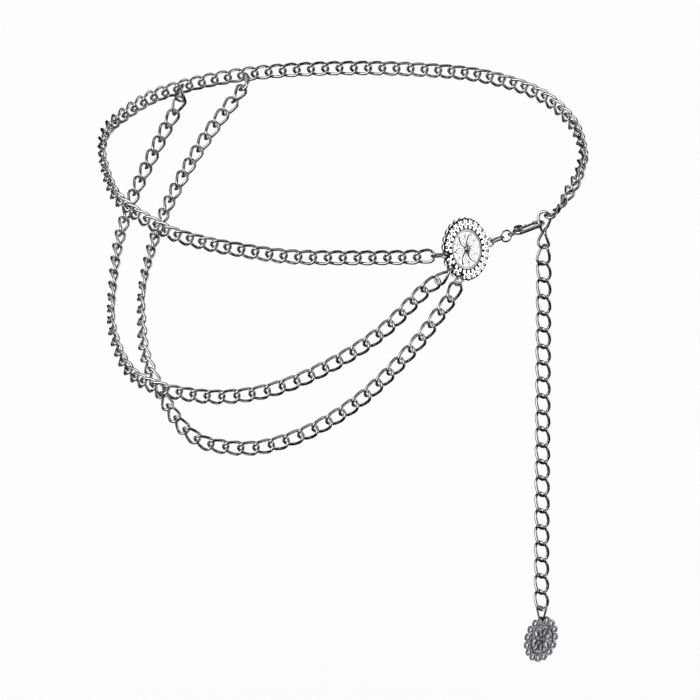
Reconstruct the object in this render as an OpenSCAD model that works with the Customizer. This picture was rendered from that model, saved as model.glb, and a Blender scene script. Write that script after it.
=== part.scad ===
/* [Chain links] */
// Outer length of a link
link_len = 12.8; // [12:0.1:14]
// Outer width of a link
link_w = 8.2; // [7.6:0.1:9]
// Thickness of the link wire
link_wire = 1.6; // [1.3:0.05:1.7]
// Play between two links of the belt
belt_play = 1.5; // [0.8:0.1:1.6]
// Play between two links of a swag
swag_play = 0.8; // [0.4:0.1:1.2]
// Play between two links that hang
hang_play = 0.2; // [0.2:0.05:0.5]
// Clear space that the tilt leaves where the wires of two links cross
cross_gap = 0.5; // [0.4:0.05:0.6]
// Clear space between any two wires that hook together
hook_gap = 0.2; // [0.15:0.05:0.3]
// How far a swag's last link reaches past the belt link that it hangs on
hang_reach = 3.4; // [3.1:0.1:3.7]
// Play of the belt's last link on the link that the clasp holds
belt_end_play = 0.3; // [0.2:0.05:0.4]
// Number of links in the hanging tail
tail_links = 23; // [5:2:31]

/* [Waist] */
// Half width of the hips that the chain lies on
hip_half_w = 135; // [120:1:150]
// Half depth of the hips that the chain lies on
hip_half_d = 95; // [85:1:110]

/* [Medallion] */
// Diameter over the lobes of the border
medallion_d = 35; // [34:0.5:40]
// Thickness of the plate
medallion_t = 1.3; // [1:0.1:1.5]
// Diameter of the plain centre, at its raised ring
centre_d = 21; // [20:0.5:23]
// Height of the plain centre above the border
centre_rise = 0.3; // [0.2:0.05:0.4]
// Thickness of the raised ring
centre_wire = 1.1; // [1:0.05:1.2]
// Diameter of the holes that the chains hook into
hole_d = 3; // [2.8:0.1:3.2]
// Metal left outside a hole
rim_web = 0.8; // [0.6:0.05:0.9]
// Radius of a scroll on the border
scroll_r = 1.45; // [1.2:0.05:1.5]
// Thickness of a scroll
scroll_wire = 0.9; // [0.6:0.1:0.9]
// Diameter of the small beads inside the scrolls
bead_d = 1.2; // [0.8:0.1:1.2]
// Clear space between the beads and the raised ring
bead_gap = 0.2; // [0.1:0.05:0.3]
// Length of a petal of the centre flower
petal_len = 8; // [6:0.2:8]
// Width of a petal of the centre flower
petal_w = 3; // [2:0.1:3.2]
// Height of the petals
petal_rise = 0.4; // [0.3:0.05:0.6]
// Distance of the petals from the middle
petal_gap = 1.1; // [0.8:0.1:1.3]
// Radius of the flower's round middle
flower_r = 1.6; // [1.3:0.1:1.8]
// Radius of the eye on the right, at the middle of its wire
eye_r = 2.1; // [2:0.05:2.4]
// Thickness of the eye's wire
eye_wire = 1.2; // [1:0.05:1.3]
// Depth that the eye's wire is sunk in the border
eye_sink = 0.9; // [0.6:0.05:0.95]
// Turn of the face to the right
medallion_turn = 44; // [35:1:50]
// Lean of the face upwards
medallion_lean = 12; // [0:1:20]

/* [Jump rings] */
// Length of the oval ring that holds the belt
belt_ring_len = 9.4; // [9:0.1:10.5]
// Width of the oval ring that holds the belt
belt_ring_w = 5.2; // [5:0.1:6]
// Thickness of the belt ring's wire
belt_ring_wire = 1.2; // [1:0.05:1.3]
// Turn of the belt ring about its own length
belt_ring_turn = 20; // [0:1:25]
// Outer diameter of the round ring that holds the lower swag
swag_ring_d = 6.4; // [6.2:0.1:7]
// Thickness of the swag ring's wire
swag_ring_wire = 1.1; // [0.9:0.05:1.2]
// Length of the small link before the clasp
clasp_link_len = 8.6; // [8:0.1:10]
// Width of the small link before the clasp
clasp_link_w = 4.8; // [4.6:0.1:5.4]
// Thickness of the small link's wire
clasp_link_wire = 1.1; // [0.9:0.05:1.2]
// Outer diameter of the round ring that holds the clasp
clasp_ring_d = 7.2; // [7:0.1:8.5]
// Thickness of the clasp ring's wire
clasp_ring_wire = 0.95; // [0.8:0.05:1.1]

/* [Clasp] */
// Radius of the clasp's own eye, at the middle of its wire
clasp_eye_r = 1.6; // [1.5:0.05:1.9]
// Thickness of that eye's wire
clasp_eye_wire = 1.2; // [1:0.05:1.3]
// Radius of the clasp's two round ends
bow_r = 3.2; // [3:0.1:3.6]
// Thickness of the clasp's arm
arm_wire = 2; // [1.8:0.05:2.1]
// Straight length of the arm between its round ends
arm_len = 10.7; // [9:0.1:12]
// Angle at which the hook's tip ends, past the top of the bow
tip_over = 15; // [10:1:20]
// Radius of the boss that holds the lever
boss_r = 2.4; // [2.3:0.05:2.7]
// Height of that boss
boss_h = 3.4; // [3.2:0.1:4]
// Height of the lever's barrel
barrel_h = 1.3; // [1.1:0.05:1.4]
// Radius of the lever's barrel
barrel_r = 1.4; // [1.2:0.05:1.4]
// Diameter of the hinge pin
pin_d = 1; // [0.8:0.05:1.2]
// Clear space round the pin and the barrel
pin_gap = 0.1; // [0.08:0.01:0.15]
// Thickness of the lever
lever_wire = 1.3; // [1:0.05:1.3]
// Clear space between the lever's nose and the hook's tip
nose_gap = 0.3; // [0.2:0.05:0.5]
// Distance of the hinge from the bow's own centre, along the clasp
pivot_ahead = 0.4; // [0.2:0.1:0.8]
// Distance of the hinge from the middle of the bow's wire
pivot_in = 0.6; // [0.4:0.1:0.8]
// Diameter of the lever's thumb knob
knob_d = 1.9; // [1.6:0.1:2.2]
// Turn of the clasp away from the front
clasp_turn = 26; // [20:1:32]
// Rise of the clasp towards its hook
clasp_rise = 13; // [5:1:20]

/* [Pendant] */
// Diameter over the loops of the rim
pendant_d = 26; // [24:0.5:30]
// Thickness of the pendant
pendant_t = 1.4; // [1.2:0.05:1.5]
// Number of loops round the rim
loop_count = 15; // [13:1:15]
// Clear space between two loops
loop_gap = 0.2; // [0.15:0.05:0.3]
// Width of the metal round the hole in a loop
loop_rim = 0.95; // [0.85:0.05:1]
// How far the pierced plate reaches into the loops
plate_lap = 0.7; // [0.5:0.05:0.8]
// Thickness of the raised ring on the plate
pendant_ring_wire = 1; // [0.8:0.1:1.1]
// Number of petals and of pierced gaps
petal_count = 8; // [6:1:8]
// Length of a pierced gap
gap_len = 4; // [3:0.1:4.2]
// Width of a pierced gap
gap_w = 1.7; // [1:0.1:1.8]
// Metal between the pierced gaps and the raised ring
gap_rim = 1; // [0.8:0.1:1.2]
// Length of a petal
pendant_petal_len = 4.8; // [4:0.1:5]
// Width of a petal
pendant_petal_w = 1.8; // [1.4:0.1:2]
// Distance of a petal's middle from the pendant's middle
pendant_petal_at = 3.9; // [3.5:0.1:4.2]
// Height of the petals above the plate
pendant_petal_rise = 0.5; // [0.3:0.05:0.6]
// Radius of the pendant's round middle
boss_dome_r = 1.5; // [1.2:0.1:1.8]
// Turn of the pendant's face to the right
pendant_turn = 44; // [35:1:50]

/* [Pendant bail] */
// Width of the bail at the top
bail_top_w = 7.6; // [7:0.1:8.5]
// Width of the bail where the pendant hangs
bail_foot_w = 2.7; // [2.6:0.1:3]
// Height of the bail
bail_h = 7.3; // [7:0.1:9]
// Thickness of the bail's wire
bail_wire = 1.1; // [1:0.05:1.2]

/* [Hidden] */
wire_fn = 24;
round_fn = 72;
route_steps = 10;
medallion_at = [65.2, -82, -28.6];

// chosen points of the chains, from the medallion round the left side to the back
belt_points = [[32, -97, -29], [0, -98, -29], [-32, -95, -29], [-63, -85, -27], [-80, -75, -26],
               [-94, -66, -24], [-106, -54, -21], [-117, -42, -17], [-125, -29, -13],
               [-130, -14, -7], [-133, 0, 0], [-134, 12, 5], [-132, 25, 10], [-125, 40, 14],
               [-106, 62, 21], [-77, 81, 25], [-42, 94, 27], [0, 98, 28], [42, 94, 28],
               [77, 79, 28], [107, 55, 24], [125, 27, 15], [131, -1, 5], [129, -16, 0],
               [126, -28, -5], [116, -46, -15]];
upper_points = [[43, -95, -48], [19, -96, -72], [-10, -96, -91], [-39, -94, -104],
                [-67, -88, -110], [-92, -76, -111], [-106, -65, -110], [-114, -54, -109],
                [-120, -42, -106], [-125, -28, -100], [-129, -10, -90], [-129, 10, -77],
                [-126, 35, -56], [-118, 54, -34], [-102, 73, -4], [-94, 79, 10]];
lower_points = [[57, -93, -53], [49, -95, -64], [36, -96, -81], [11, -96, -107], [-17, -96, -126],
                [-46, -93, -137], [-71, -86, -138], [-84, -79, -134], [-93, -71, -126],
                [-99, -62, -118], [-105, -52, -109], [-110, -38, -99], [-112, -20, -86],
                [-112, -1, -72], [-106, 25, -52], [-96, 47, -32], [-78, 68, -5], [-59, 82, 18]];
// places at the back of the belt where the swags hang
upper_hang = [-88, 75, 23];
lower_hang = [-53, 91, 26];
// how far from the end of a belt link's straight side each swag hooks
upper_in = 2;
lower_in = 0.3;

link_rod = link_wire / 2;
link_bend = (link_w - link_wire) / 2;
link_half = (link_len - link_wire) / 2;
link_inner = link_len - 2 * link_wire;
hang_pitch = link_inner - hang_play;
belt_pitch = link_inner - belt_play;
swag_pitch = link_inner - swag_play;
// half of the offset between the bends of two hooked links
bend_offset = hang_pitch / 2 - (link_half - link_bend);
link_tilt = asin((link_wire + cross_gap) / (2 * sqrt(pow(link_bend, 2) - pow(bend_offset, 2))));

lobe_count = 24;
lobe_step = 360 / lobe_count;
lobe_r = hole_d / 2 + rim_web;
lobe_at = medallion_d / 2 - lobe_r;
eye_angle = 1;
petals = 6;
scroll_from = 60;
scroll_sweep = 250;
scroll_in = 0.2;
belt_lobe = 12;
upper_lobe = 14;
lower_lobe = 16;
medallion_face = turned(medallion_turn, medallion_lean);
medallion_right = [cos(medallion_turn), sin(medallion_turn), 0];
medallion_up = cross(medallion_face, medallion_right);

function unit(v) = v / norm(v);
// the part of a vector that is square to an axis
function square_to(v, axis) = unit(v - (v * axis) * axis);
// direction of a face that is turned to the right and leans up
function turned(turn, lean) = [sin(turn) * cos(lean), -cos(turn) * cos(lean), sin(lean)];
function lobe_angle(k) = eye_angle + k * lobe_step;
function on_medallion(r, angle) =
    medallion_at + r * cos(angle) * medallion_right + r * sin(angle) * medallion_up;

// smooth curve through chosen points
function curve_at(a, b, c, d, t) =
    (2 * b + (c - a) * t + (2 * a - 5 * b + 4 * c - d) * pow(t, 2)
     + (3 * b - a - 3 * c + d) * pow(t, 3)) / 2;
function smooth(points) = let (last = len(points) - 1) concat(
    [for (i = [0:last - 1]) for (k = [0:route_steps - 1])
        curve_at(points[max(i - 1, 0)], points[i], points[i + 1], points[min(i + 2, last)],
                 k / route_steps)],
    [points[last]]);
function lengths(line) =
    [for (i = 0, s = 0; i < len(line); s = s + norm(line[min(i + 1, len(line) - 1)] - line[i]),
          i = i + 1) s];
function table(line, run, axis) = [for (i = [0:len(line) - 1]) [run[i], line[i][axis]]];
function place(s, tables) = [for (axis = [0:2]) lookup(s, tables[axis])];

// a link is its centre, its long direction and the direction of its flat face
function hip_face(p) = unit([p.x / pow(hip_half_w, 2), p.y / pow(hip_half_d, 2), 0]);
function tilted(face, along, angle) = cos(angle) * face + sin(angle) * cross(along, face);
// reach is how far the first and the last link go past what they hook on
function chain(points, most_pitch, first_reach, last_reach, first_tilt, last_tilt) =
    let (line = smooth(points), run = lengths(line),
         tables = [for (axis = [0:2]) table(line, run, axis)],
         first = link_half - first_reach, last = run[len(run) - 1] - link_half + last_reach,
         count = ceil((last - first) / most_pitch), pitch = (last - first) / count)
    [for (i = [0:count])
        let (s = first + i * pitch, centre = place(s, tables),
             along = unit(place(s + link_bend, tables) - place(s - link_bend, tables)),
             face = square_to(hip_face(centre), along),
             tilt = i == count ? last_tilt : i % 2 == 0 ? first_tilt : -first_tilt)
        [centre, along, tilted(face, along, tilt)]];
function reach(wire) = wire / 2 + link_rod + hook_gap;
function nearest(links, target) =
    let (gaps = [for (l = links) norm(l[0] - target)], best = min(gaps))
    [for (i = [0:len(links) - 1]) if (gaps[i] == best) links[i]][0];
// place on the lower side of a link, from the start of its straight part
function lower_side(link, in) =
    let (side = link_bend * cross(link[2], link[1]))
    link[0] + (side.z < 0 ? side : -side) - (link_half - link_bend - in) * link[1];

// a ring that hooks into a hole of the medallion and leads away in a direction
function hooked(hole, away, bend, half) =
    let (out = square_to(away, medallion_face))
    [hole + bend * out + (half - bend) * away, away,
     cross(away, square_to(medallion_face, away))];

belt_hole = on_medallion(lobe_at, lobe_angle(belt_lobe));
upper_hole = on_medallion(lobe_at, lobe_angle(upper_lobe));
lower_hole = on_medallion(lobe_at, lobe_angle(lower_lobe));

belt_ring_bend = (belt_ring_w - belt_ring_wire) / 2;
belt_ring_half = (belt_ring_len - belt_ring_wire) / 2;
belt_ring_link = hooked(belt_hole, unit(belt_points[0] - belt_hole), belt_ring_bend,
                        belt_ring_half);
belt_start = belt_ring_link[0] + belt_ring_half * belt_ring_link[1];

upper_first = hooked(upper_hole, unit(upper_points[0] - upper_hole), link_bend, link_half);
upper_start = upper_first[0] + link_half * upper_first[1];

swag_ring_bend = (swag_ring_d - swag_ring_wire) / 2;
swag_ring_link = hooked(lower_hole, unit(lower_points[0] - lower_hole), swag_ring_bend,
                        swag_ring_bend);
lower_start = swag_ring_link[0] + swag_ring_bend * swag_ring_link[1];

// the row of pieces from the medallion's eye to the clasp, measured along the clasp
clasp_along = [cos(clasp_turn) * cos(clasp_rise), sin(clasp_turn) * cos(clasp_rise),
               sin(clasp_rise)];
clasp_side = [-sin(clasp_turn), cos(clasp_turn), 0];
clasp_top = cross(clasp_along, clasp_side);
eye_at = medallion_d / 2 + eye_r + eye_wire / 2 - eye_sink;
eye_centre = on_medallion(eye_at, eye_angle);
clasp_link_half = (clasp_link_len - clasp_link_wire) / 2;
eye_hook = eye_centre + eye_r * square_to(clasp_along, medallion_face);
clasp_link_s = clasp_link_half - (eye_wire + clasp_link_wire) / 2 - hook_gap;
clasp_ring_bend = (clasp_ring_d - clasp_ring_wire) / 2;
clasp_ring_s = clasp_link_s + clasp_link_half - (clasp_link_wire + clasp_ring_wire) / 2
    - hook_gap + clasp_ring_bend;
clasp_s = clasp_ring_s + clasp_ring_bend - (clasp_ring_wire + clasp_eye_wire) / 2 - hook_gap
    + clasp_eye_r;
clasp_at = eye_hook + clasp_s * clasp_along;
arm_rod = arm_wire / 2;
base_x = clasp_eye_r + bow_r + arm_rod - clasp_eye_wire / 2;
bow_x = base_x + arm_len;
held_x = bow_x + bow_r - arm_rod - link_rod - hook_gap + link_bend;
held_at = clasp_at + held_x * clasp_along;
held_link = [held_at, [0, 0, -1], -clasp_side];
// angle at which the belt's last link pulls at the held link's upper bend
belt_pull = 15;
belt_end = held_at + [0, 0, link_half - link_bend + link_bend * sin(belt_pull)]
    + link_bend * cos(belt_pull) * [cos(clasp_turn), sin(clasp_turn), 0];

// turn of the last link of each chain about its own length
belt_end_turn = 95;
upper_end_turn = 90;
lower_end_turn = 80;
belt_links = chain(concat([belt_start], belt_points, [belt_end]), belt_pitch,
                   reach(belt_ring_wire), reach(link_wire) + belt_end_play, link_tilt,
                   belt_end_turn);
upper_end = lower_side(nearest(belt_links, upper_hang), upper_in);
lower_end = lower_side(nearest(belt_links, lower_hang), lower_in);
upper_links = chain(concat([upper_start], upper_points, [upper_end]), swag_pitch,
                    reach(link_wire), hang_reach, -link_tilt, upper_end_turn);
lower_links = chain(concat([lower_start], lower_points, [lower_end]), swag_pitch,
                    reach(swag_ring_wire), hang_reach, -link_tilt, lower_end_turn);

pivot_x = base_x + pivot_ahead;
pivot_y = bow_r - pivot_in;
tip = [bow_x - bow_r * sin(tip_over), bow_r * cos(tip_over)];
nose_x = tip.x - arm_rod * sin(tip_over) - nose_gap;
lever_angle = atan2(tip.y - pivot_y, nose_x - pivot_x);
lever_len = norm([nose_x - pivot_x, tip.y - pivot_y]);
slot_h = barrel_h + 2 * hook_gap;
slot_r = barrel_r + hook_gap;
// sweep of the clasp's closed end, and the knob's place as a share of the lever's length
base_sweep = 170;
knob_share = 0.55;

tail_end = held_at - [0, 0, tail_links * hang_pitch + link_half];
bail_top = tail_end + [0, 0, link_rod + bail_wire / 2 + hook_gap];
bail_foot = bail_top - [0, 0, bail_h];
loop_share = sin(180 / loop_count);
loop_r = (pendant_d * loop_share - loop_gap) / (2 + 2 * loop_share);
loop_hole_r = loop_r - loop_rim;
loop_at = pendant_d / 2 - loop_r;
plate_r = loop_at - loop_r + plate_lap;
pendant_at = bail_foot - [0, 0, loop_at + loop_hole_r - bail_wire / 2 - hook_gap];
ring_inset = 0.4;
pendant_ring_r = plate_r - pendant_ring_wire / 2 - ring_inset;
// how much wider than the wire the bail's corners are
corner_swell = 0.1;

module rod(length, wire) cylinder(d = wire, h = length, $fn = wire_fn);
module arc(bend, wire, from, sweep)
    rotate([0, 0, from]) rotate_extrude(angle = sweep, $fn = round_fn)
        translate([bend, 0]) circle(d = wire, $fn = wire_fn);
module hoop(bend, wire)
    rotate_extrude($fn = round_fn) translate([bend, 0]) circle(d = wire, $fn = wire_fn);
// wire loop of two round ends and two straight sides, lying flat
module oval(half, bend, wire)
    for (turn = [0, 180]) rotate([0, 0, turn]) {
        translate([half - bend, 0, 0]) arc(bend, wire, -90, 180);
        translate([bend - half, bend, 0]) rotate([0, 90, 0]) rod(2 * (half - bend), wire);
    }
module put(link) {
    along = link[1];
    face = link[2];
    side = cross(face, along);
    multmatrix([[along.x, side.x, face.x, link[0].x], [along.y, side.y, face.y, link[0].y],
                [along.z, side.z, face.z, link[0].z], [0, 0, 0, 1]]) children();
}
module chain_link() oval(link_half, link_bend, link_wire);
// leaf outline, raised or cut, of two circular sides
module leaf(length, width, height) {
    r = (pow(length, 2) + pow(width, 2)) / (4 * width);
    intersection() {
        translate([0, r - width / 2, 0]) cylinder(r = r, h = height, $fn = round_fn);
        translate([0, width / 2 - r, 0]) cylinder(r = r, h = height, $fn = round_fn);
    }
}

module medallion_border() {
    cylinder(r = lobe_at, h = medallion_t, $fn = round_fn);
    for (k = [0:lobe_count - 1]) rotate([0, 0, lobe_angle(k)]) {
        translate([lobe_at, 0, 0]) cylinder(r = lobe_r, h = medallion_t, $fn = round_fn);
        if (k != belt_lobe && k != upper_lobe && k != lower_lobe)
            translate([lobe_at - scroll_in, 0, medallion_t])
                arc(scroll_r, scroll_wire, scroll_from, scroll_sweep);
        rotate([0, 0, lobe_step / 2])
            translate([(centre_d + centre_wire + bead_d) / 2 + bead_gap, 0, medallion_t])
                sphere(d = bead_d, $fn = wire_fn);
    }
}
module medallion_centre() {
    translate([0, 0, medallion_t / 2]) cylinder(d = centre_d, h = medallion_t / 2 + centre_rise,
                                                $fn = round_fn);
    translate([0, 0, medallion_t]) hoop(centre_d / 2, centre_wire);
    for (k = [0:petals - 1]) rotate([0, 0, k * 360 / petals])
        translate([petal_len / 2 + petal_gap, 0, medallion_t])
            leaf(petal_len, petal_w, centre_rise + petal_rise);
    translate([0, 0, medallion_t + centre_rise]) sphere(r = flower_r, $fn = round_fn);
}
module medallion() color("silver")
    put([medallion_at, medallion_right, medallion_face]) translate([0, 0, -medallion_t / 2])
        difference() {
            union() {
                medallion_border();
                medallion_centre();
                rotate([0, 0, eye_angle]) translate([eye_at, 0, medallion_t / 2])
                    hoop(eye_r, eye_wire);
            }
            for (k = [belt_lobe, upper_lobe, lower_lobe]) rotate([0, 0, lobe_angle(k)])
                translate([lobe_at, 0, -1]) cylinder(d = hole_d, h = medallion_t + 2,
                                                     $fn = round_fn);
        }

module belt_ring() color("silver") put(belt_ring_link) rotate([belt_ring_turn, 0, 0])
    oval(belt_ring_half, belt_ring_bend, belt_ring_wire);
module belt_chain() color("gainsboro") {
    for (link = belt_links) put(link) chain_link();
    put(held_link) chain_link();
}
module upper_swag() color("gainsboro") {
    put(upper_first) chain_link();
    for (link = upper_links) put(link) chain_link();
}
module lower_swag() color("gainsboro") for (link = lower_links) put(link) chain_link();
module swag_ring() color("silver") put(swag_ring_link) hoop(swag_ring_bend, swag_ring_wire);

module on_clasp(s, face) put([eye_hook + s * clasp_along, clasp_along, face]) children();
module clasp_link() color("silver") on_clasp(clasp_link_s, clasp_top)
    oval(clasp_link_half, (clasp_link_w - clasp_link_wire) / 2, clasp_link_wire);
module clasp_ring() color("silver") on_clasp(clasp_ring_s, -clasp_side)
    hoop(clasp_ring_bend, clasp_ring_wire);
module at_pivot() translate([pivot_x, pivot_y, 0]) children();
module clasp_body() color("silver") on_clasp(clasp_s, clasp_top) {
    difference() {
        union() {
            hoop(clasp_eye_r, clasp_eye_wire);
            translate([base_x, 0, 0]) mirror([1, 0, 0]) arc(bow_r, arm_wire, -90, base_sweep);
            translate([base_x, -bow_r, 0]) rotate([0, 90, 0]) rod(arm_len, arm_wire);
            translate([bow_x, 0, 0]) arc(bow_r, arm_wire, -90, 180 + tip_over);
            at_pivot() translate([0, 0, -boss_h / 2]) cylinder(r = boss_r, h = boss_h,
                                                               $fn = round_fn);
        }
        at_pivot() {
            translate([0, 0, -slot_h / 2]) cylinder(r = slot_r, h = slot_h, $fn = round_fn);
            translate([0, -2 * boss_r, -slot_h / 2]) cube([2 * boss_r, 2 * boss_r + slot_r,
                                                           slot_h]);
        }
    }
    at_pivot() translate([0, 0, -boss_h / 2]) rod(boss_h, pin_d);
}
module clasp_lever() color("silver") on_clasp(clasp_s, clasp_top) at_pivot() difference() {
    union() {
        translate([0, 0, -barrel_h / 2]) cylinder(r = barrel_r, h = barrel_h, $fn = round_fn);
        rotate([0, 0, lever_angle]) {
            rotate([0, 90, 0]) rod(lever_len, lever_wire);
            translate([lever_len * knob_share, lever_wire / 2, 0]) sphere(d = knob_d, $fn = round_fn);
        }
    }
    translate([0, 0, -boss_h / 2]) cylinder(d = pin_d + 2 * pin_gap, h = boss_h, $fn = round_fn);
}

module tail_chain() color("gainsboro") for (k = [1:tail_links]) {
    turn = k == 1 ? -3 * link_tilt : k % 2 == 0 ? -link_tilt : link_tilt;
    put([held_at - [0, 0, k * hang_pitch], [0, 0, -1], turned(turn, 0)]) chain_link();
}

module bail_side(from, to) {
    run = to - from;
    translate([from.x, 0, from.y]) rotate([0, atan2(run.x, run.y), 0])
        rod(norm(run), bail_wire);
    translate([from.x, 0, from.y]) sphere(d = bail_wire + corner_swell, $fn = wire_fn);
}
module pendant_bail() color("silver") translate(bail_foot) rotate([0, 0, pendant_turn - 90]) {
    corners = [[-bail_foot_w / 2, 0], [bail_foot_w / 2, 0], [bail_top_w / 2, bail_h],
               [-bail_top_w / 2, bail_h]];
    for (i = [0:3]) bail_side(corners[i], corners[(i + 1) % 4]);
}
module at_loops() for (k = [0:loop_count - 1]) rotate([0, 0, 90 + k * 360 / loop_count])
    translate([loop_at, 0, 0]) children();
module pendant() color("slategray")
    translate(pendant_at) rotate([0, 0, pendant_turn]) rotate([90, 0, 0])
        translate([0, 0, -pendant_t / 2]) difference() {
            union() {
                cylinder(r = plate_r, h = pendant_t, $fn = round_fn);
                at_loops() cylinder(r = loop_r, h = pendant_t, $fn = round_fn);
                translate([0, 0, pendant_t]) {
                    hoop(pendant_ring_r, pendant_ring_wire);
                    sphere(r = boss_dome_r, $fn = round_fn);
                    for (k = [0:petal_count - 1]) rotate([0, 0, (k + 0.5) * 360 / petal_count])
                        translate([pendant_petal_at, 0, -pendant_t / 2])
                            leaf(pendant_petal_len, pendant_petal_w,
                                 pendant_t / 2 + pendant_petal_rise);
                }
            }
            at_loops() translate([0, 0, -1]) cylinder(r = loop_hole_r, h = pendant_t + 2,
                                                      $fn = round_fn);
            for (k = [0:petal_count - 1]) rotate([0, 0, k * 360 / petal_count])
                translate([pendant_ring_r - gap_rim - gap_len / 2, 0, -1])
                    leaf(gap_len, gap_w, pendant_t + 2);
        }

medallion();
belt_ring();
belt_chain();
upper_swag();
lower_swag();
swag_ring();
clasp_link();
clasp_ring();
clasp_body();
clasp_lever();
tail_chain();
pendant_bail();
pendant();
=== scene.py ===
import math

import bpy
import numpy as np
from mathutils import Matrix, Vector


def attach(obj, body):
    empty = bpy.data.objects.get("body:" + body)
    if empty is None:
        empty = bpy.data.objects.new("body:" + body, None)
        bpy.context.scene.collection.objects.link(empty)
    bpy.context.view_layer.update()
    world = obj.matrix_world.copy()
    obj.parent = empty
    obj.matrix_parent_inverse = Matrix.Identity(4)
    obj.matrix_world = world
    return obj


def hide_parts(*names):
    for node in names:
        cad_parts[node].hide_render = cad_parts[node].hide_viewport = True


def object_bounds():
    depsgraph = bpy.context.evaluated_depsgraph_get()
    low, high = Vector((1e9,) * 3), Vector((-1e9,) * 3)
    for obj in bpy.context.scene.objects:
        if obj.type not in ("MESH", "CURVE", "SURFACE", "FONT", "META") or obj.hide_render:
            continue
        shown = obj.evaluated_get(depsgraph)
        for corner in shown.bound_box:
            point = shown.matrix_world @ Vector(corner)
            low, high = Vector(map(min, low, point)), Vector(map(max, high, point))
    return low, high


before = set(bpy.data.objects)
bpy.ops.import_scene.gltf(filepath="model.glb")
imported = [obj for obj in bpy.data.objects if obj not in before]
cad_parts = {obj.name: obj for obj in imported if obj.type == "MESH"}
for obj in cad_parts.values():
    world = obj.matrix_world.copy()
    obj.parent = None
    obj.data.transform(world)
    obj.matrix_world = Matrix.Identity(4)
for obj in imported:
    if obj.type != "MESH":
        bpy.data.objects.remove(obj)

cad_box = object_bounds()
MM = 0.001

# Camera: the photo's near level view of the front, 16 degrees above the horizon
VIEW_ELEVATION = math.radians(16)
CAMERA_DISTANCE = 4.0
AIM = Vector((2.75, -28.8, -100.45)) * MM
FRAME_WIDTH = 385 * MM
SENSOR = 36

# Light: the white that the eye sees, and the bright lobes that the metal mirrors. Each has a
# direction, the angles in degrees where it begins to fade and where it ends, and a strength
WHITE = 1.08
DARK = 0.01
LAMPS = (
    ((-0.59, -0.62, 0.51), 13, 33, 1.9),  # front left, above
    ((-0.8, 0.0, 0.6), 6, 14, 1.1),  # left, above
    ((1, -0.07, 0.03), 9, 19, 1.7),  # right
    ((0.96, -0.03, -0.276), 8, 18, 0.7),  # right, a little below
    ((0, 0, 1), 8, 20, 0.8),  # straight above
    ((0.45, -0.75, 0.5), 5, 14, 0.9),  # front right, above
    ((0.59, 0.62, 0.51), 9, 23, 1.1),  # back right, above
    ((-0.85, -0.08, -0.53), 8, 17, 0.8),  # left, below
)

# Floor, well below the lowest point, so that it shows no shadow
FLOOR_DROP = 80 * MM
FLOOR_RADIUS = 9

# Chain links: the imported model's sizes, the twist of each half, the lean of the tail's links in
# their own plane, and the points along the wire, along each end's arc and round the wire
LINK_LENGTH = 12.8 * MM
LINK_WIDTH = 8.2 * MM
LINK_WIRE = 1.6 * MM
LINK_TWIST = math.radians(-47)
TAIL_LEAN = math.radians(11)
LINK_STEPS = 56
ARC_STEPS = 60
WIRE_SIDES = 12

# Neighbours along a chain: how far apart they are at most, and the cosines of the widest and the
# least turn between their faces
MAX_PITCH = 11 * MM
WIDEST_TURN = math.cos(math.radians(70))
LEAST_TURN = math.cos(math.radians(35))

# Medallion: middle of its plate in mm, turn and lean of its face in degrees, half of the plate's
# thickness, its lobes, those of them that are pierced for rings, and how far from the middle the
# ground of the plate is oxidised
MEDALLION_AT = (65.2, -82, -28.6)
MEDALLION_TURN = 44
MEDALLION_LEAN = 12
MEDALLION_HALF = 0.65
MEDALLION_LOBES = 24
PIERCED_LOBES = (12, 14, 16)
OXIDE_REACH = 16.9 * MM

# Pendant: turn of its face in degrees, radius in mm, and how often its forms repeat
PENDANT_TURN = 44
PENDANT_RADIUS = 13
PENDANT_LOOPS = 15
PENDANT_PETALS = 8

# Relief: sides of its wires, and rings and sides of its beads
RELIEF_SIDES = 8
BEAD_RINGS = 4
BEAD_SIDES = 10

# Metal: scales of its patches, dents and scratches, and how near walls must stand for shade to be
# painted into a recess
CLOUD_SCALE = 180.0
DENT_SCALE = 700.0
SCRATCH_SCALE = 2600.0
HOLLOW_REACH = 1.2 * MM


# Meshes

MERGE_DISTANCE = 0.01 * MM


def loose_parts(mesh):
    """Vertex positions of each connected part of a mesh, with coincident vertices merged."""
    co = np.zeros(len(mesh.vertices) * 3)
    mesh.vertices.foreach_get("co", co)
    co = co.reshape(-1, 3)
    edges = np.zeros(len(mesh.edges) * 2, int)
    mesh.edges.foreach_get("vertices", edges)
    edges = edges.reshape(-1, 2)
    _, same = np.unique(np.round(co / MERGE_DISTANCE).astype(int), axis=0, return_inverse=True)
    same = same.ravel()
    label = np.arange(same.max() + 1)
    ends = same[edges]
    while True:
        low = np.minimum(label[ends[:, 0]], label[ends[:, 1]])
        before = label.copy()
        np.minimum.at(label, ends[:, 0], low)
        np.minimum.at(label, ends[:, 1], low)
        label = label[label]
        if (label == before).all():
            break
    part = label[same]
    return [co[part == k] for k in np.unique(part)]


def link_frame(points):
    """Centre, long direction and face direction of a flat oval link."""
    centre = points.mean(0)
    _, _, axes = np.linalg.svd(points - centre, full_matrices=False)
    return centre, axes[0], axes[2]


def make_mesh(name, verts, faces):
    """Smooth object of a new mesh, in the scene."""
    mesh = bpy.data.meshes.new(name)
    mesh.from_pydata([tuple(v) for v in verts], [], faces)
    mesh.shade_smooth()
    obj = bpy.data.objects.new(name, mesh)
    bpy.context.scene.collection.objects.link(obj)
    return obj


def tube_faces(rings, sides, first=0):
    """Quads of a closed tube of rings."""
    faces = []
    for i in range(rings):
        for j in range(sides):
            a, b = first + i * sides, first + (i + 1) % rings * sides
            k = (j + 1) % sides
            faces.append((a + j, a + k, b + k, b + j))
    return faces


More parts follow.
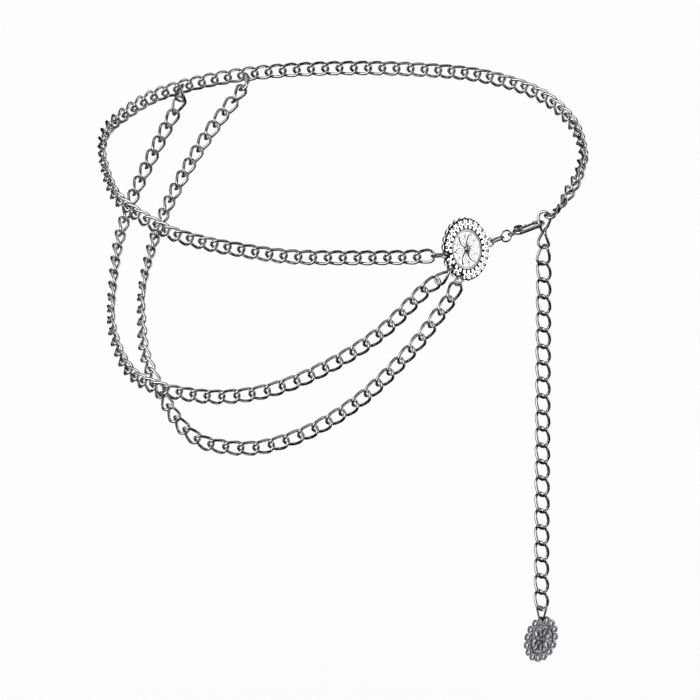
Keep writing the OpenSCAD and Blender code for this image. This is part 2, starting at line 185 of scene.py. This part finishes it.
class Relief:
    """Small raised forms that gather in one mesh, in the frame of a flat ornament.

    x is to the right and y up on the ornament's face, and z is the height above its back.
    """

    def __init__(self, centre, turn, lean):
        turn, lean = math.radians(turn), math.radians(lean)
        flat = math.cos(lean)
        face = np.array([math.sin(turn) * flat, -math.cos(turn) * flat, math.sin(lean)])
        right = np.array([math.cos(turn), math.sin(turn), 0])
        self.axes = np.stack([right, np.cross(face, right), face])
        self.centre = np.array(centre)
        self.verts, self.faces, self.smooth, self.count = [], [], [], 0

    def grow(self, verts, faces, smooth=True):
        """Take in one more form, whose faces count its own vertices."""
        self.verts.append(verts)
        self.smooth += [smooth] * len(faces)
        self.faces += [tuple(self.count + k for k in face) for face in faces]
        self.count += len(verts)

    def bead(self, x, y, z, radius, flat=1.0):
        """Ball at [x, y, z], as high as flat times its radius."""
        rings = []
        for tilt in np.linspace(0, math.pi, BEAD_RINGS + 2)[1:-1]:
            a = np.arange(BEAD_SIDES) / BEAD_SIDES * 2 * math.pi
            rings.append(np.stack([math.sin(tilt) * np.cos(a), math.sin(tilt) * np.sin(a),
                                   np.full(BEAD_SIDES, flat * math.cos(tilt))], 1))
        verts = np.concatenate(rings + [[[0, 0, flat], [0, 0, -flat]]]) * radius + [x, y, z]
        last = (BEAD_RINGS - 1) * BEAD_SIDES
        top, low = BEAD_RINGS * BEAD_SIDES, BEAD_RINGS * BEAD_SIDES + 1
        faces = []
        for j in range(BEAD_SIDES):
            k = (j + 1) % BEAD_SIDES
            faces += [(top, j, k), (low, last + k, last + j)]
            for i in range(BEAD_RINGS - 1):
                a, b = i * BEAD_SIDES, (i + 1) * BEAD_SIDES
                faces.append((a + j, b + j, b + k, a + k))
        self.grow(verts, faces)

    def wire(self, points, radius, closed=False):
        """Round wire along points [x, y, z], whose radius may change along it."""
        points = np.array(points, float)
        radius = np.broadcast_to(radius, len(points))
        if closed:
            along = np.roll(points, -1, 0) - np.roll(points, 1, 0)
        else:
            along = np.gradient(points, axis=0)
        along /= np.linalg.norm(along, axis=1)[:, None]
        side = np.cross(along, [0, 0, 1])
        side /= np.linalg.norm(side, axis=1)[:, None]
        up = np.cross(side, along)
        a = np.arange(RELIEF_SIDES) / RELIEF_SIDES * 2 * math.pi
        rings = np.cos(a)[None, :, None] * side[:, None] + np.sin(a)[None, :, None] * up[:, None]
        verts = (points[:, None] + radius[:, None, None] * rings).reshape(-1, 3)
        faces = tube_faces(len(points), RELIEF_SIDES)
        if not closed:
            faces = faces[:-RELIEF_SIDES]
            last = (len(points) - 1) * RELIEF_SIDES
            faces += [tuple(range(RELIEF_SIDES))[::-1], tuple(range(last, last + RELIEF_SIDES))]
        self.grow(verts, faces)

    def ribbon(self, points, top, foot, low, high):
        """Flat-topped stroke along points [x, y], of half width top above and foot below."""
        points = np.array(points, float)
        along = np.gradient(points, axis=0)
        along /= np.linalg.norm(along, axis=1)[:, None]
        side = np.stack([along[:, 1], -along[:, 0]], 1)
        corners = []
        for reach, level in ((foot, low), (top, high), (-top, high), (-foot, low)):
            corners.append(np.column_stack([points + reach * side, np.full(len(points), level)]))
        verts = np.stack(corners, 1).reshape(-1, 3)
        faces = tube_faces(len(points), 4)[:-4]
        last = (len(points) - 1) * 4
        faces += [(3, 2, 1, 0), (last, last + 1, last + 2, last + 3)]
        self.grow(verts, faces, smooth=False)

    def build(self, name, body):
        """Object in metres, in the model's frame, that rides a body."""
        verts = self.centre + np.concatenate(self.verts) @ self.axes
        obj = make_mesh(name, verts * MM, self.faces)
        obj.data.polygons.foreach_set("use_smooth", self.smooth)
        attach(obj, body)
        return obj


def polar(r, angle, z):
    """Point at a radius and an angle in degrees."""
    a = math.radians(angle)
    return [r * math.cos(a), r * math.sin(a), z]


def turned(points, angle):
    """Points turned about z by an angle in degrees."""
    a = math.radians(angle)
    c, s = math.cos(a), math.sin(a)
    return [[x * c - y * s, x * s + y * c, z] for x, y, z in points]


def leaf_edge(start, length, width, z, share=1.0):
    """Closed outline of a leaf that points along x, made of two arcs."""
    r = (length ** 2 + width ** 2) / (4 * width)
    span = math.asin(length / 2 / r)
    a = np.linspace(-span, span, 11)
    x, y = r * np.sin(a), r * np.cos(a) - r + width / 2
    one = [[start + length / 2 + share * i, share * j, z] for i, j in zip(x, y)]
    two = [[start + length / 2 - share * i, -share * j, z] for i, j in zip(x, y)]
    return one[:-1] + two[:-1]


def curb_link(lean):
    """Vertices of one curb link: an oval of round wire, twisted about its length.

    Its long direction leans in its own plane by the angle lean.
    """
    bend = (LINK_WIDTH - LINK_WIRE) / 2
    straight = (LINK_LENGTH - LINK_WIDTH) / 2
    arc = np.linspace(-math.pi / 2, math.pi / 2, ARC_STEPS)
    right = np.stack([straight + bend * np.cos(arc), bend * np.sin(arc)], 1)
    oval = np.concatenate([right, -right, right[:1]])
    run = np.concatenate([[0], np.cumsum(np.linalg.norm(np.diff(oval, axis=0), axis=1))])
    step = np.arange(LINK_STEPS) / LINK_STEPS * run[-1]
    x, y = (np.interp(step, run, oval[:, k]) for k in (0, 1))
    turn = LINK_TWIST * x / (bend + straight)
    centre = np.stack([x, y * np.cos(turn), y * np.sin(turn)], 1)
    tangent = np.roll(centre, -1, 0) - np.roll(centre, 1, 0)
    tangent /= np.linalg.norm(tangent, axis=1)[:, None]
    beyond = x - np.clip(x, -straight, straight)
    out = np.stack([beyond, y * np.cos(turn), y * np.sin(turn)], 1)
    out -= (out * tangent).sum(1)[:, None] * tangent
    out /= np.linalg.norm(out, axis=1)[:, None]
    up = np.cross(tangent, out)
    a = np.arange(WIRE_SIDES) / WIRE_SIDES * 2 * math.pi
    ring = np.cos(a)[None, :, None] * out[:, None] + np.sin(a)[None, :, None] * up[:, None]
    x, y, z = (centre[:, None] + LINK_WIRE / 2 * ring).reshape(-1, 3).T
    c, s = math.cos(lean), math.sin(lean)
    return np.stack([x * c - y * s, x * s + y * c, z], 1)


def curb_chain(node, lean=0.0):
    """One joined mesh of twisted links, one at each flat link of a chain node.

    The flat links are turned to alternate sides, and a twisted one takes the middle of its own
    face and its neighbours' faces. All the faces look away from the wearer.
    """
    links = [link_frame(p) for p in loose_parts(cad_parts[node].data)]
    centres = np.array([c for c, _, _ in links])
    shape = curb_link(lean)
    verts, faces = [], []
    for centre, along, face in links:
        gaps = np.linalg.norm(centres - centre, axis=1)
        mean = face.copy()
        near = [k for k in np.argsort(gaps)[1:3] if gaps[k] < MAX_PITCH]
        turns = [links[k][2] * np.sign(links[k][2] @ face) for k in near]
        turns = [f for f in turns if WIDEST_TURN < f @ face < LEAST_TURN]
        if turns:
            mean = face + sum(turns) / len(turns)
        mean -= (mean @ along) * along
        mean /= np.linalg.norm(mean)
        if mean[:2] @ centre[:2] < 0:
            mean = -mean
        axes = np.stack([along, np.cross(mean, along), mean])
        faces += tube_faces(LINK_STEPS, WIRE_SIDES, len(verts) * len(shape))
        verts.append(centre + shape @ axes)
    obj = make_mesh(node + "_links", np.concatenate(verts), faces)
    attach(obj, "chain")
    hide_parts(node)
    return obj


# Materials

class Nodes:
    """Short helpers that add and join shader nodes."""

    def __init__(self, tree):
        self.tree = tree
        tree.nodes.clear()

    def add(self, kind, **values):
        node = self.tree.nodes.new(kind)
        for name, value in values.items():
            if hasattr(node, name):
                setattr(node, name, value)
            else:
                self.set(node.inputs[name.replace("_", " ")], value)
        return node

    def set(self, socket, value):
        if isinstance(value, bpy.types.NodeSocket):
            self.tree.links.new(value, socket)
        else:
            socket.default_value = value

    def math(self, operation, a, b=0.0):
        node = self.tree.nodes.new("ShaderNodeMath")
        node.operation = operation
        self.set(node.inputs[0], a)
        self.set(node.inputs[1], b)
        return node.outputs[0]

    def ramp(self, value, low, high, to_low=0.0, to_high=1.0, kind="SMOOTHSTEP"):
        node = self.tree.nodes.new("ShaderNodeMapRange")
        node.interpolation_type = kind
        for socket, v in zip(node.inputs, (value, low, high, to_low, to_high)):
            self.set(socket, v)
        return node.outputs[0]

    def noise(self, scale, detail=4.0, place=None):
        node = self.tree.nodes.new("ShaderNodeTexNoise")
        node.inputs["Scale"].default_value = scale
        node.inputs["Detail"].default_value = detail
        if place is not None:
            self.set(node.inputs["Vector"], place)
        return node.outputs["Fac"]

    def mix(self, share, a, b):
        node = self.tree.nodes.new("ShaderNodeMix")
        node.data_type = "RGBA"
        self.set(node.inputs[0], share)
        self.set(node.inputs[6], a)
        self.set(node.inputs[7], b)
        return node.outputs[2]


def silver(name, light, dark, recess_shade_and_oxide, rough, grain, ground=None, metal=1.0, hollow_from=0.85,
           dimple=0.0):
    """Silver plate: light metal, darker in the recesses, with fine scratches and a faint grain.

    The fourth argument is how dark the recesses and the places where parts meet get: shade painted
    there from ambient occlusion, which on the oxidised pendant also stands for its oxide. dimple
    is the strength of wider dents.
    ground is (point, normal, height, centre, reach): metal at about that height above the point,
    and nearer to the centre than the reach, is oxidised.
    """
    material = bpy.data.materials.new(name)
    material.use_nodes = True
    n = Nodes(material.node_tree)
    place = n.add("ShaderNodeTexCoord").outputs["Object"]
    cloud = n.noise(CLOUD_SCALE, 3.0, place)
    fine = n.noise(SCRATCH_SCALE, 5.0, place)
    # Ambient occlusion darkens the colour in recesses and where parts meet or links cross: painted
    # shade, which on the oxidised pendant also stands for its oxide
    hollow = n.add("ShaderNodeAmbientOcclusion", samples=6, Distance=HOLLOW_REACH).outputs["AO"]
    deep = n.ramp(hollow, 0.25, hollow_from, recess_shade_and_oxide, 0.0)
    if ground:
        point, normal, height, centre, reach = ground
        along = n.add("ShaderNodeVectorMath", operation="DOT_PRODUCT")
        n.set(along.inputs[0], place)
        along.inputs[1].default_value = normal
        above = n.math("SUBTRACT", along.outputs["Value"], float(np.dot(point, normal)))
        low = n.ramp(above, height + 0.02 * MM, height + 0.3 * MM, 1.0, 0.0)
        front = n.ramp(above, height - 0.3 * MM, height - 0.1 * MM, 0.0, 1.0)
        gap = n.add("ShaderNodeVectorMath", operation="DISTANCE")
        n.set(gap.inputs[0], place)
        gap.inputs[1].default_value = centre
        inside = n.ramp(gap.outputs["Value"], reach - 0.2 * MM, reach + 0.2 * MM, 1.0, 0.0)
        oxide = n.math("MULTIPLY", n.math("MULTIPLY", low, front), inside)
        # From here deep holds the painted shade of the recesses together with the oxide of the
        # ground
        deep = n.math("MAXIMUM", deep, oxide)
    patch = n.math("MULTIPLY", n.ramp(cloud, 0.45, 0.7), 0.12)
    shade = n.math("ADD", deep, patch)
    colour = n.mix(shade, (*light, 1), (*dark, 1))
    worn = n.ramp(fine, 0.3, 0.7, rough, rough * 1.8)
    roughness = n.math("ADD", worn, n.math("MULTIPLY", deep, 0.3))
    bump = n.add("ShaderNodeBump", Strength=grain, Distance=0.05 * MM, Height=fine)
    if dimple:
        uneven = n.noise(DENT_SCALE, 2.0, place)
        bump = n.add("ShaderNodeBump", Strength=dimple, Distance=0.4 * MM, Height=uneven,
                     Normal=bump.outputs[0])
    shader = n.add("ShaderNodeBsdfPrincipled", Base_Color=colour, Metallic=metal,
                   Roughness=roughness, Normal=bump.outputs[0])
    n.add("ShaderNodeOutputMaterial", Surface=shader.outputs[0])
    return material


def back_plane(node):
    """A point on the largest flat face of a node, and the direction from it into the metal."""
    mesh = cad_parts[node].data
    normals = np.zeros(len(mesh.polygons) * 3)
    areas = np.zeros(len(mesh.polygons))
    mesh.polygons.foreach_get("normal", normals)
    mesh.polygons.foreach_get("area", areas)
    normals = normals.reshape(-1, 3)
    kinds, which = np.unique(np.round(normals, 2), axis=0, return_inverse=True)
    best = np.argmax(np.bincount(which.ravel(), areas))
    largest = np.flatnonzero(which.ravel() == best)
    normal = normals[largest].mean(0)
    normal /= np.linalg.norm(normal)
    return np.array(mesh.polygons[int(largest[0])].center), -normal


def give(obj, material):
    """Set an object's only material."""
    obj.data.materials.clear()
    obj.data.materials.append(material)


# Metals, the chains and the plain fittings

# The fourth value of each metal is how dark the shade painted into its recesses and where its
# parts meet gets
chain_metal = silver("chain_silver", (0.88, 0.88, 0.89), (0.06, 0.06, 0.07), 0.8, 0.07, 0.12)
fitting_metal = silver("fitting_silver", (0.88, 0.88, 0.89), (0.08, 0.08, 0.09), 0.7, 0.08, 0.12)
medallion_metal = silver(
    "medallion_silver", (0.9, 0.9, 0.9), (0.015, 0.015, 0.017), 1.0, 0.14, 0.2,
    ground=(*back_plane("medallion"), 2 * MEDALLION_HALF * MM, Vector(MEDALLION_AT) * MM,
            OXIDE_REACH))
aged_metal = silver(
    "aged_silver", (0.5, 0.48, 0.545), (0.012, 0.01, 0.015), 1.0, 0.2, 0.3,
    metal=0.95, hollow_from=0.98, dimple=1.0)

for node in ("belt_chain", "upper_swag", "lower_swag"):
    give(curb_chain(node), chain_metal)
give(curb_chain("tail_chain", TAIL_LEAN), chain_metal)
for node in ("belt_ring", "swag_ring", "clasp_link", "clasp_ring", "clasp_body", "clasp_lever",
             "pendant_bail"):
    give(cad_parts[node], fitting_metal)
give(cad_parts["medallion"], medallion_metal)
give(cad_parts["pendant"], aged_metal)


# Relief, in mm in the ornament's own frame

def medallion_relief():
    """Flower with ribs and veins, small leaves, rings of beads and the border's raised strokes."""
    relief = Relief(MEDALLION_AT, MEDALLION_TURN, MEDALLION_LEAN)
    relief.centre = relief.centre - MEDALLION_HALF * relief.axes[2]
    for k in range(6):
        turn = 60 * k
        relief.wire(turned(leaf_edge(1.1, 8, 3, 2.0, 0.93), turn), 0.16, closed=True)
        rib = np.linspace(1.8, 8.3, 12)
        relief.wire(turned([[x, 0, 2.0] for x in rib], turn), np.linspace(0.24, 0.08, 12))
        steps = np.linspace(0.02, 0.9, 6)
        for x, reach in ((3.2, 0.85), (4.5, 1.0), (5.8, 0.8)):
            for side in (-1, 1):
                vein = [[x + 0.9 * t, side * reach * t ** 0.8, 2.0] for t in steps]
                relief.wire(turned(vein, turn), np.linspace(0.12, 0.06, 6))
        relief.wire(turned(leaf_edge(5.6, 3.4, 1.5, 1.6), turn + 30), 0.17, closed=True)
        relief.bead(*polar(7.2, turn + 30, 1.6), 0.4, 0.8)
    for k in range(72):
        relief.bead(*polar(9.65, 5 * k, 1.62), 0.27)
    for k in range(12):
        relief.bead(*polar(2.1, 30 * k + 15, 1.95), 0.3)
    for k in range(MEDALLION_LOBES):
        turn = 360 / MEDALLION_LOBES * k
        drop = np.array(turned([[x, 0, 0] for x in np.linspace(11.35, 13.3, 4)], 8.5 + turn))
        relief.ribbon(drop[:, :2], 0.9, 1.0, 1.2, 1.95)
        if k not in PIERCED_LOBES:
            sweep = np.radians(np.linspace(52, 318, 24))
            stroke = [[15.0 + 1.43 * math.cos(b), 1.43 * math.sin(b), 0] for b in sweep]
            relief.ribbon(np.array(turned(stroke, 1 + turn))[:, :2], 0.45, 0.52, 1.25, 1.82)
            bar = np.array(turned([[x, 0, 0] for x in np.linspace(14.75, 15.4, 3)], 1 + turn))
            relief.ribbon(bar[:, :2], 0.26, 0.32, 1.25, 1.82)
    return relief.build("medallion_relief", "chain")


def pendant_relief():
    """Beads between the loops and on the ring, and the ribs and edges of the petals."""
    relief = Relief((0, 0, 0), PENDANT_TURN, 0)
    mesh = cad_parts["pendant"].data
    co = np.array([v.co for v in mesh.vertices]) / MM @ relief.axes.T
    low, high = co.min(0), co.max(0)
    centre = [(low[0] + high[0]) / 2, high[1] - PENDANT_RADIUS, low[2]]
    relief.centre = np.array(centre) @ relief.axes
    for k in range(PENDANT_LOOPS):
        relief.bead(*polar(9.3, 90 + 360 / PENDANT_LOOPS * (k + 0.5), 1.35), 0.5)
    for k in range(48):
        relief.bead(*polar(7.55, 7.5 * k, 1.42), 0.24)
    for k in range(PENDANT_PETALS):
        turn = 360 / PENDANT_PETALS * (k + 0.5)
        relief.wire(turned(leaf_edge(1.5, 4.8, 1.8, 1.9, 0.88), turn), 0.14, closed=True)
        rib = [[x, 0, 1.9] for x in np.linspace(2.0, 5.6, 8)]
        relief.wire(turned(rib, turn), np.linspace(0.2, 0.08, 8))
    for k in range(10):
        relief.bead(*polar(1.75, 36 * k, 1.5), 0.28)
    return relief.build("pendant_relief", "drop")


give(medallion_relief(), medallion_metal)
give(pendant_relief(), aged_metal)


# Floor, light and camera

def floor():
    """Plain pale disc, which the metal does not mirror."""
    low = cad_box[0].z - FLOOR_DROP
    bpy.ops.mesh.primitive_circle_add(vertices=96, radius=FLOOR_RADIUS, fill_type="NGON",
                                      location=(0, 0, low))
    obj = bpy.context.object
    obj.name = "floor"
    material = bpy.data.materials.new("floor_white")
    material.use_nodes = True
    n = Nodes(material.node_tree)
    shader = n.add("ShaderNodeBsdfPrincipled", Base_Color=(0.93, 0.93, 0.93, 1), Roughness=0.9)
    n.add("ShaderNodeOutputMaterial", Surface=shader.outputs[0])
    give(obj, material)
    obj.visible_glossy = False


def studio():
    """World that is white to the eye. In the metal it is dark but for the lamps' bright lobes."""
    scene = bpy.context.scene
    scene.view_settings.view_transform = "Standard"
    world = bpy.data.worlds.new("studio")
    scene.world = world
    world.use_nodes = True
    n = Nodes(world.node_tree)
    place = n.add("ShaderNodeTexCoord").outputs["Generated"]

    def lit(direction, inner, outer, value):
        """Brightness of one lobe: full within inner degrees of its direction, none past outer."""
        dot = n.add("ShaderNodeVectorMath", operation="DOT_PRODUCT")
        n.set(dot.inputs[0], place)
        dot.inputs[1].default_value = Vector(direction).normalized()
        fade, full = (math.cos(math.radians(angle)) for angle in (outer, inner))
        return n.ramp(dot.outputs["Value"], fade, full, 0.0, value)

    level = DARK
    for lamp in LAMPS:
        level = n.math("ADD", level, lit(*lamp))
    path = n.add("ShaderNodeLightPath")
    strength = n.ramp(path.outputs["Is Glossy Ray"], 0.0, 1.0, WHITE, level, "LINEAR")
    back = n.add("ShaderNodeBackground", Color=(1, 1, 1, 1), Strength=strength)
    n.add("ShaderNodeOutputWorld", Surface=back.outputs[0])


def camera():
    """Long lens far away, as the photo has hardly any perspective."""
    data = bpy.data.cameras.new("camera")
    obj = bpy.data.objects.new("camera", data)
    bpy.context.scene.collection.objects.link(obj)
    back = Vector((0, -math.cos(VIEW_ELEVATION), math.sin(VIEW_ELEVATION)))
    obj.location = AIM + CAMERA_DISTANCE * back
    obj.rotation_mode = "QUATERNION"
    obj.rotation_quaternion = (-back).to_track_quat("-Z", "Y")
    data.sensor_width = SENSOR
    data.lens = SENSOR / 2 / (FRAME_WIDTH / 2 / CAMERA_DISTANCE)
    data.clip_end = 100
    bpy.context.scene.camera = obj


floor()
studio()
camera()
